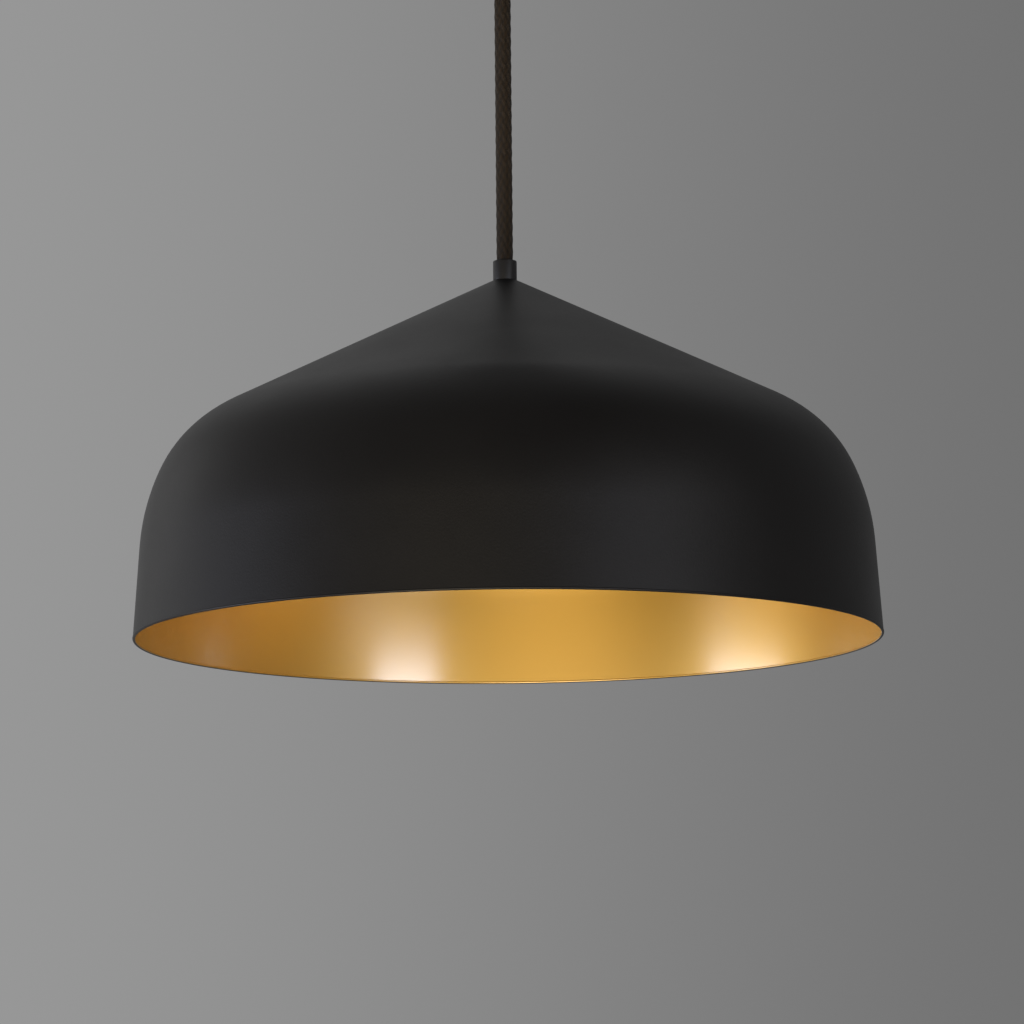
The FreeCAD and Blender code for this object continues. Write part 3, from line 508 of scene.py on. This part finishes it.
# ------------------------------------------------ cord

def braid_tree():
    """A braided sleeve: two families of yarns that wind opposite ways and pass over and under."""
    sizes = {
        "Around": BRAID_AROUND, "Along": 10, "Top": 0.0, "Bottom": -0.1, "Radius": BRAID_RADIUS,
        "Relief": BRAID_RELIEF, "Yarns": BRAID_YARNS, "Pitch": BRAID_PITCH,
    }
    tree, given = new_tree("braided_sleeve", sizes)
    tube = put(tree, "GeometryNodeMeshCylinder", {
        "Vertices": given["Around"], "Side Segments": given["Along"], "Radius": 1.0, "Depth": 1.0,
    }, fill_type="TRIANGLE_FAN")
    place = mesh_place(tree)
    share = calc(tree, "ADD", place["Z"], 0.5)
    length = calc(tree, "SUBTRACT", given["Top"], given["Bottom"])
    height = calc(tree, "ADD", given["Bottom"], calc(tree, "MULTIPLY", share, length))
    angle = calc(tree, "ARCTAN2", place["Y"], place["X"])
    turn = calc(tree, "MULTIPLY", angle, given["Yarns"])
    climb = calc(tree, "MULTIPLY", calc(tree, "DIVIDE", height, given["Pitch"]), 2 * math.pi)
    rising = calc(tree, "ADD", turn, climb)
    falling = calc(tree, "SUBTRACT", turn, climb)
    half_rising = calc(tree, "COSINE", calc(tree, "MULTIPLY", rising, 0.5))
    half_falling = calc(tree, "COSINE", calc(tree, "MULTIPLY", falling, 0.5))
    over = calc(tree, "MULTIPLY", half_rising, half_falling)
    crowns = []
    for half, sign in ((half_rising, 0.42), (half_falling, -0.42)):
        round_top = calc(tree, "POWER", calc(tree, "ABSOLUTE", half), 0.8)
        lift = calc(tree, "ADD", calc(tree, "MULTIPLY", over, sign), 0.58)
        crowns.append(calc(tree, "MULTIPLY", round_top, lift))
    crown = calc(tree, "MAXIMUM", *crowns)
    on_top = calc(tree, "GREATER_THAN", *crowns)
    lay = calc(tree, "ADD", calc(tree, "MULTIPLY", on_top, rising),
               calc(tree, "MULTIPLY", calc(tree, "SUBTRACT", 1.0, on_top), falling))
    low = calc(tree, "SUBTRACT", given["Radius"], given["Relief"])
    surface = calc(tree, "ADD", low, calc(tree, "MULTIPLY", crown, given["Relief"]))
    radius = calc(tree, "MULTIPLY", surface, axis_distance(tree, place))
    spot = about_axis(tree, radius, angle, height)
    marked = tube.outputs["Mesh"]
    for label, source in (("crown", crown), ("lay", lay)):
        store = put(tree, "GeometryNodeStoreNamedAttribute", {"Geometry": marked, "Name": label},
                    data_type="FLOAT", domain="POINT")
        value = next(s for s in store.inputs if s.name == "Value" and s.enabled)
        tree.links.new(source, value)
        marked = store.outputs[0]
    moved = put(tree, "GeometryNodeSetPosition", {"Geometry": marked, "Position": spot})
    smooth = put(tree, "GeometryNodeSetShadeSmooth", {"Geometry": moved.outputs[0]})
    end_tree(tree, smooth.outputs[0], YARN)
    return tree


def route_points(start, end):
    """Points along the cord's line, read from its own smooth curve; the weight keeps it straight."""
    curve = bpy.data.curves.new("cord_route", "CURVE")
    curve.dimensions = "3D"
    line = curve.splines.new("NURBS")
    route = [start, start.lerp(end, 0.5), end]
    line.points.add(len(route) - 1)
    for point, place in zip(line.points, route):
        point.co = (*place, 1)
    line.order_u = 3
    line.use_endpoint_u = True
    holder = bpy.data.objects.new("cord_route", curve)
    bpy.context.scene.collection.objects.link(holder)
    traced = bpy.data.meshes.new_from_object(holder)
    points = [vertex.co.copy() for vertex in traced.vertices]
    bpy.data.objects.remove(holder)
    return points


def make_cord():
    """The braided cord in three stretches: fixed in the grip, hanging free, and held by the collar."""
    tree = braid_tree()

    def stretch(name, top, bottom):
        rows = max(8, round((top - bottom) / BRAID_ROW))
        return grow(name, tree, {
            "Around": BRAID_AROUND, "Along": rows, "Top": top, "Bottom": bottom, "Radius": BRAID_RADIUS,
            "Relief": BRAID_RELIEF, "Yarns": BRAID_YARNS, "Pitch": BRAID_PITCH,
        })

    tail = stretch("cord_in_grip", CORD_TOP, SWING.z)
    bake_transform(tail)
    hanging = stretch("cord_hanging", SWING.z, CORD_JOINT)
    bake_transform(hanging)
    foot = stretch("cord_at_collar", CORD_JOINT, CORD_END + CORE_GAP)
    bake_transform(foot)
    for piece, nodes in ((tail, ["cord_tail", "cord_flex_top"]), (hanging, ["cord"]),
                         (foot, ["cord_flex_bottom", "cord_end"])):
        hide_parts(*nodes)
    joint = Vector((0, 0, CORD_JOINT))
    for piece, start, end in ((hanging, SWING, joint), (foot, joint, Vector((0, 0, CORD_END)))):
        route_points(start, end)


make_cord()


# ------------------------------------------------ shade

def dome_tree(material):
    """One skin of the dome: its two faces follow the cone, shoulder, flank and side at two depths."""
    lengths = ("Start Radius", "Top", "Cone Run", "Side Run", "Cone Angle", "Shoulder Radius",
               "Shoulder Sweep", "Flank Radius", "Flank Sweep", "Outer Depth", "Inner Depth")
    sizes = {"Around": DOME_AROUND, "Rows": DOME_ROWS, **dict.fromkeys(lengths, 0.0)}
    tree, given = new_tree("dome_skin_" + material.name, sizes)

    def run(operation, *values):
        return calc(tree, operation, *values)

    grid, angle, row, inner_face = folded_grid(tree, given)
    depth = run("ADD", given["Outer Depth"], run("MULTIPLY", inner_face, run(
        "SUBTRACT", given["Inner Depth"], given["Outer Depth"])))
    shoulder_run = run("MULTIPLY", given["Shoulder Radius"], given["Shoulder Sweep"])
    flank_run = run("MULTIPLY", given["Flank Radius"], given["Flank Sweep"])
    to_flank = run("ADD", given["Cone Run"], shoulder_run)
    to_side = run("ADD", to_flank, flank_run)
    whole = run("ADD", to_side, given["Side Run"])
    along = run("MULTIPLY", run("DIVIDE", row, run("SUBTRACT", given["Rows"], 1)), whole)

    def part_of(start, length):
        """How far along a stretch of the outline this row is, from none to all of it."""
        return run("MINIMUM", run("MAXIMUM", run("SUBTRACT", along, start), 0.0), length)

    cone = part_of(0.0, given["Cone Run"])
    shoulder = run("DIVIDE", part_of(given["Cone Run"], shoulder_run), given["Shoulder Radius"])
    flank = run("DIVIDE", part_of(to_flank, flank_run), given["Flank Radius"])
    side = part_of(to_side, given["Side Run"])
    middle = run("ADD", given["Cone Angle"], given["Shoulder Sweep"])
    first = run("ADD", given["Cone Angle"], shoulder)
    second = run("ADD", middle, flank)
    heading = run("ADD", first, flank)
    last = run("ADD", middle, given["Flank Sweep"])

    def reach(wave, sign):
        """Distance covered outwards (sine wave) or downwards (cosine wave) by the two arcs."""
        across = run("MULTIPLY", given["Shoulder Radius"], run("SUBTRACT", run(wave, first), run(
            wave, given["Cone Angle"])))
        beyond = run("MULTIPLY", given["Flank Radius"], run("SUBTRACT", run(wave, second), run(
            wave, middle)))
        return run("MULTIPLY", run("ADD", across, beyond), sign)

    out = run("ADD", run("MULTIPLY", cone, run("COSINE", given["Cone Angle"])),
              run("MULTIPLY", side, run("COSINE", last)))
    out = run("ADD", run("ADD", out, reach("SINE", 1.0)), given["Start Radius"])
    down = run("ADD", run("MULTIPLY", cone, run("SINE", given["Cone Angle"])),
               run("MULTIPLY", side, run("SINE", last)))
    down = run("ADD", down, reach("COSINE", -1.0))
    radius = run("SUBTRACT", out, run("MULTIPLY", depth, run("SINE", heading)))
    height = run("SUBTRACT", run("SUBTRACT", given["Top"], down), run("MULTIPLY", depth, run(
        "COSINE", heading)))
    close_skin(tree, grid, about_axis(tree, radius, angle, height), material)
    return tree


def dome_sizes():
    """Lengths of the cone's and the side's straight runs, so that the outline ends at the rim."""
    middle = CONE_ANGLE + SHOULDER_SWEEP
    side = math.pi / 2 - SIDE_LEAN
    across = RIM_RADIUS - BEAD_STAND - LAND_RADIUS
    across -= SHOULDER_RADIUS * (math.sin(middle) - math.sin(CONE_ANGLE))
    across -= FLANK_RADIUS * (math.sin(side) - math.sin(middle))
    down = APEX_HEIGHT - RIM_HEIGHT - BEAD_RADIUS
    down -= SHOULDER_RADIUS * (math.cos(CONE_ANGLE) - math.cos(middle))
    down -= FLANK_RADIUS * (math.cos(middle) - math.cos(side))
    cross = math.sin(side - CONE_ANGLE)
    return {
        "Around": DOME_AROUND, "Rows": DOME_ROWS, "Start Radius": LAND_RADIUS, "Top": APEX_HEIGHT,
        "Cone Run": (across * math.sin(side) - down * math.cos(side)) / cross,
        "Side Run": (down * math.cos(CONE_ANGLE) - across * math.sin(CONE_ANGLE)) / cross,
        "Cone Angle": CONE_ANGLE, "Shoulder Radius": SHOULDER_RADIUS, "Shoulder Sweep": SHOULDER_SWEEP,
        "Flank Radius": FLANK_RADIUS, "Flank Sweep": side - middle,
    }


def joined(name, *pieces):
    """Several pieces of one finish as one piece."""
    whole = bmesh.new()
    for piece in pieces:
        whole.from_mesh(piece.data)
    material = pieces[0].data.materials[0]
    for piece in pieces:
        bpy.data.objects.remove(piece)
    return finish_mesh(name, whole, material, 40)


def make_shade():
    """The spun dome: black skin outside, gold skin inside, and the narrow rolled hem that both run into."""
    sizes = dome_sizes()
    black = grow("black_dome", dome_tree(POWDER_BLACK), {
        **sizes, "Outer Depth": 0.0, "Inner Depth": COAT_LINE,
    })
    gold = grow("gold_dome", dome_tree(GOLD), {**sizes, "Outer Depth": COAT_LINE, "Inner Depth": SHEET})
    mid = (RIM_RADIUS - BEAD_RADIUS) / MM, (RIM_HEIGHT + BEAD_RADIUS) / MM
    bead = BEAD_RADIUS / MM

    def bead_ring(name, from_angle, to_angle, outer, inner, material):
        """A slice of the hem between two radii; angle 0 points outwards and -90 down."""
        count = 12
        sweep = [math.radians(from_angle + (to_angle - from_angle) * k / count) for k in range(count + 1)]
        outline = [(mid[0] + outer * math.cos(a), mid[1] + outer * math.sin(a)) for a in sweep]
        outline += [(mid[0] + inner * math.cos(a), mid[1] + inner * math.sin(a)) for a in reversed(sweep)]
        return turned(name, outline, [0] * len(outline), material, steps=DOME_AROUND)

    black_bead = bead_ring("black_bead", 75, -138, bead, bead - HEM_SKIN, POWDER_BLACK)
    gold_bead = bead_ring("gold_bead", 222, 105, bead, bead - HEM_SKIN, GOLD)
    land = turned("dome_land", [
        (ENTRY_RADIUS / MM, APEX_HEIGHT / MM), (LAND_RADIUS / MM + 0.05, APEX_HEIGHT / MM),
        (LAND_RADIUS / MM, (APEX_HEIGHT - SHEET) / MM), (ENTRY_RADIUS / MM, (APEX_HEIGHT - SHEET) / MM),
    ], [0] * 4, POWDER_BLACK)
    outside = joined("shade_outside", black, black_bead, land)
    inside = joined("shade_inside", gold, gold_bead)
    fit(outside, "shade", "black_shade", "shade")
    fit(inside, "shade", "gold_lining")


make_shade()


# ------------------------------------------------ repeated details

def ring_tree(name, material, sideways=False):
    """Bars set evenly round a circle, for knurls, ribs and chips; the circle may face sideways."""
    sizes = {"Count": 36, "Radius": 0.01, "Width": 0.001, "Depth": 0.001, "Length": 0.005, "Middle": 0.0}
    tree, given = new_tree(name, sizes)
    circle = put(tree, "GeometryNodeMeshCircle", {"Vertices": given["Count"], "Radius": given["Radius"]})
    size = put(tree, "ShaderNodeCombineXYZ", {
        "X": given["Depth"], "Y": given["Width"], "Z": given["Length"],
    }).outputs[0]
    bar = put(tree, "GeometryNodeMeshCube", {"Size": size})
    centre = put(tree, "GeometryNodeInputPosition").outputs[0]
    facing = put(tree, "FunctionNodeAlignRotationToVector", {"Vector": centre}, axis="X", pivot_axis="Z")
    bars = put(tree, "GeometryNodeInstanceOnPoints", {
        "Points": circle.outputs[0], "Instance": bar.outputs[0], "Rotation": facing.outputs[0],
    })
    shift = put(tree, "ShaderNodeCombineXYZ", {"Z": given["Middle"]}).outputs[0]
    moved = put(tree, "GeometryNodeTransform", {"Geometry": bars.outputs[0], "Translation": shift})
    if sideways:
        moved = put(tree, "GeometryNodeTransform", {
            "Geometry": moved.outputs[0], "Rotation": (0, math.pi / 2, 0),
        })
    end_tree(tree, moved.outputs[0], material)
    return tree


def ring(name, material, count, radius, width, depth, length, middle, sideways=False):
    """A ring of bars; sizes in millimetres."""
    return grow(name, ring_tree(name, material, sideways), {
        "Count": count, "Radius": radius * MM, "Width": width * MM, "Depth": depth * MM,
        "Length": length * MM, "Middle": middle * MM,
    })


def thread_tree(material):
    """A thin tube with a rolled round thread that fades out towards both ends."""
    sizes = {"Around": 96, "Rows": 60, "Radius": 0.013, "Wall": 0.0005, "Top": 0.0, "Bottom": -0.02,
             "Pitch": 0.0036, "Height": 0.0008}
    tree, given = new_tree("rolled_thread", sizes)

    def run(operation, *values):
        return calc(tree, operation, *values)

    grid, angle, row, inner_face = folded_grid(tree, given)
    share = run("DIVIDE", row, run("SUBTRACT", given["Rows"], 1))
    drop = run("SUBTRACT", given["Bottom"], given["Top"])
    height = run("ADD", given["Top"], run("MULTIPLY", share, drop))
    climb = run("MULTIPLY", run("DIVIDE", height, given["Pitch"]), 2 * math.pi)
    wave = run("MULTIPLY", run("ADD", run("COSINE", run("SUBTRACT", angle, climb)), 1.0), 0.5)
    ends = run("MULTIPLY", run("MINIMUM", share, run("SUBTRACT", 1.0, share)), 7.0)
    fade = run("MINIMUM", run("MAXIMUM", ends, 0.0), 1.0)
    groove = run("MULTIPLY", run("MULTIPLY", run("SUBTRACT", 1.0, wave), fade), given["Height"])
    wall = run("MULTIPLY", inner_face, given["Wall"])
    radius = run("SUBTRACT", run("SUBTRACT", given["Radius"], groove), wall)
    close_skin(tree, grid, about_axis(tree, radius, angle, height), material)
    return tree


# ------------------------------------------------ ceiling fitting

def on_its_side(piece, height, flip):
    """Lays a piece that was turned upright on its side, along X, at a height."""
    towards = -1 if flip else 1
    lay = Matrix(((0, 0, towards), (0, 1, 0), (-towards, 0, 0))).to_4x4()
    piece.data.transform(Matrix.Translation((0, 0, height * MM)) @ lay)
    return piece


def make_ceiling_fitting():
    """Canopy, knurled thumb screws, and the cord grip with its bell mouth."""
    canopy = turned("ceiling_canopy", [
        (7.2, -28), (60, -28), (60, 0), (59, 0), (59, -27), (7.2, -27),
    ], [0.3, 6, 0.3, 0.3, 5, 0.3], FITTING_BLACK, steps=160)
    fit(canopy, "ceiling_fitting", "black_metal", "canopy")
    screws = []
    for flip in (False, True):
        shank = turned("thumb_shank", [
            (0, 53.5), (1.95, 53.5), (1.95, 60), (4.1, 60), (4.1, 66), (0, 66),
        ], [0, 0.4, 0, 0.2, 0.5, 0], FITTING_BLACK, steps=48)
        knurl = ring("thumb_knurl", FITTING_BLACK, 30, 4.1, 0.42, 0.7, 4.8, 63)
        screws += [on_its_side(shank, -8, flip), on_its_side(knurl, -8, flip)]
    fit(joined("thumb_screws", *screws), "ceiling_fitting", "black_metal", "canopy_screws")
    grip = turned("cord_grip", [
        (4.55, -21), (7, -21), (7, -28), (9.5, -28), (9.5, -43), (7.9, -43), (4.55, -37),
    ], [0.2, 0.5, 0, 0.4, 1.4, 0.5, 0.5], FITTING_BLACK)
    fit(grip, "ceiling_fitting", "black_metal", "cord_grip_body")


make_ceiling_fitting()


# ------------------------------------------------ collar, lampholder and bulb

def make_collar():
    """Small turned collar on the dome's apex."""
    collar = turned("cord_collar", [
        (4.55, -189.3), (6.4, -189.3), (6.4, -200), (5, -200), (5, -195.8), (4.55, -195.8),
    ], [0.25, 0.55, 0.15, 0, 0, 0], FITTING_BLACK)
    fit(collar, "shade", "black_metal", "collar")


def make_lampholder():
    """Phenolic cap and ribbed sleeve."""
    phenolic = FINISHES["black_phenolic"]
    cap = turned("holder_cap", [
        (5.05, -201.8), (6, -201.8), (18.5, -209), (19.5, -224), (17.6, -224), (17.6, -232),
        (15.6, -232), (15.6, -211), (8.6, -204.8), (5.05, -204.8),
    ], [0.2, 1, 3, 0.4, 0.2, 0.3, 0.3, 2, 0.5, 0.2], phenolic)
    fit(cap, "shade", "black_phenolic", "lampholder_cap")
    sleeve = turned("holder_sleeve_wall", [
        (17.65, -224.1), (19.2, -224.1), (19.2, -263), (15.8, -263), (15.8, -233.5), (17.65, -233.5),
    ], [0.2, 0.5, 1.4, 0.6, 0.2, 0.2], phenolic)
    ribs = ring("holder_ribs", phenolic, 36, 19.15, 1.1, 0.7, 30, -243.5)
    fit(joined("holder_sleeve", sleeve, ribs), "shade", "black_phenolic", "lampholder_sleeve")


def make_bulb():
    """Bulb with a rolled thread, a white housing, ten chips and an opal globe."""
    nickel = FINISHES["nickel"]
    thread = grow("bulb_thread", thread_tree(nickel), {
        "Around": 96, "Rows": 90, "Radius": 13.1 * MM, "Wall": 0.5 * MM, "Top": -246.9 * MM,
        "Bottom": -265.5 * MM, "Pitch": 3.629 * MM, "Height": 0.8 * MM,
    })
    shoulder = turned("bulb_shoulder", [
        (9.55, -244.1), (10.4, -244.1), (13.1, -247), (12.6, -247.2), (10.2, -244.8), (9.55, -244.8),
    ], [0.2, 1, 0, 0, 0.8, 0.2], nickel)
    fit(joined("bulb_cap", thread, shoulder), "bulb", "nickel", "bulb_base")
    housing = turned("bulb_neck", [
        (11.2, -257.5), (12.55, -257.5), (12.55, -265.5), (14, -265.5), (14.9, -271.5), (19.3, -283.5),
        (24.4, -294), (25.4, -300), (24, -300), (23, -294), (17.8, -283.5), (13.4, -271.5), (11.2, -265.5),
    ], [0.2, 0.2, 0, 0.8, 6, 14, 8, 0.15, 0.15, 8, 14, 6, 0], FINISHES["white_plastic"])
    fit(housing, "bulb", "white_plastic", "bulb_housing")

    def globe_line(radius):
        """The globe's outline at one radius, from its seam down to its lowest point."""
        seam = math.asin(GLOBE_RISE / radius)
        angles = [seam - (seam + math.pi / 2) * k / GLOBE_STEPS for k in range(GLOBE_STEPS)]
        line = [(radius * math.cos(a), GLOBE_CENTRE + radius * math.sin(a)) for a in angles]
        return line + [(0, GLOBE_CENTRE - radius)]

    outer = globe_line(GLOBE_RADIUS)
    inner = globe_line(GLOBE_RADIUS - GLOBE_WALL)
    globe = turned("bulb_opal_globe", outer + inner[::-1], [0] * (len(outer) + len(inner)),
                   FINISHES["opal_globe"], steps=128)
    fit(globe, "bulb", "opal_globe", "bulb_globe")
    chips = ring("bulb_chips", FINISHES["led_phosphor"], 10, 14, 2.8, 2.8, 0.8, -300.4)
    fit(chips, "bulb", "led_phosphor", "led_chips")


make_collar()
make_lampholder()
make_bulb()

slots = {row["node"]: row["material_slot"] for row in frame["record"]["subparts"]}
for name, node in frame["nodes"].items():
    node.data.materials.clear()
    node.data.materials.append(FINISHES[slots[name]])


# ------------------------------------------------ floor, light and finish

def make_floor():
    """Plain pale floor a storey below the lamp."""
    floor = bmesh.new()
    bmesh.ops.create_circle(floor, cap_ends=True, segments=96, radius=6)
    bmesh.ops.translate(floor, vec=(0, 0, FLOOR_HEIGHT), verts=floor.verts)
    data = bpy.data.meshes.new("floor")
    floor.to_mesh(data)
    floor.free()
    material = start_material("pale_floor", (0.6, 0.6, 0.59), 0.0, 0.8)[0]
    data.materials.append(material)
    link_mesh("floor", data)


def soft_light(name, place, width, height, power, colour=PLAIN_LIGHT):
    """A rectangular soft light that faces the lamp."""
    data = bpy.data.lights.new(name, "AREA")
    data.shape = "RECTANGLE"
    data.size, data.size_y = width, height
    data.energy = power
    data.color = colour
    light = bpy.data.objects.new(name, data)
    bpy.context.scene.collection.objects.link(light)
    light.location = place
    light.visible_camera = False
    light.rotation_mode = "QUATERNION"
    light.rotation_quaternion = (Vector(LIGHT_AIM) - Vector(place)).to_track_quat("-Z", "Y")


def light_studio():
    """Grey room, lighter on the left, with a warm window low in front and five weaker soft lights."""
    world = bpy.data.worlds.new("studio")
    world.use_nodes = True
    tree = world.node_tree
    direction = put(tree, "ShaderNodeTexCoord").outputs["Generated"]
    parts = put(tree, "ShaderNodeSeparateXYZ", {"Vector": direction}).outputs
    side = put(tree, "ShaderNodeMapRange", {
        "Value": parts["X"], "From Min": -0.13, "From Max": 0.13, "To Min": 0.32, "To Max": 0.16,
    }, interpolation_type="SMOOTHSTEP").outputs["Result"]
    depth = put(tree, "ShaderNodeMapRange", {
        "Value": parts["Y"], "From Min": -0.6, "From Max": 0.6, "To Min": 0.45, "To Max": 1.0,
    }, interpolation_type="SMOOTHSTEP").outputs["Result"]
    grey = calc(tree, "MULTIPLY", side, depth)
    colour = put(tree, "ShaderNodeCombineColor", {0: grey, 1: grey, 2: grey}).outputs[0]
    tree.links.new(colour, tree.nodes["Background"].inputs["Color"])
    bpy.context.scene.world = world
    soft_light("left_low_window", (-2.6, -0.26, -0.8), 1.4, 0.8, 27, COOL_LIGHT)
    soft_light("left_back_window", (-2.2, 1.38, 0.35), 1.2, 1.2, 2.4)
    soft_light("front_right_low_window", (1.7, -2.5, -0.75), 1.1, 0.7, 20, COOL_LIGHT)
    soft_light("right_high_window", (2.2, -1.8, 0.4), 1.0, 1.0, 5)
    soft_light("front_low_window", (-0.8, -2.8, -1.9), 2.8, 1.4, 86, WARM_LIGHT)
    soft_light("ceiling_bounce", (0.1, 1.3, 2.1), 3.4, 2.0, 4.4)


make_floor()
light_studio()
bpy.context.scene.view_settings.view_transform = "Standard"
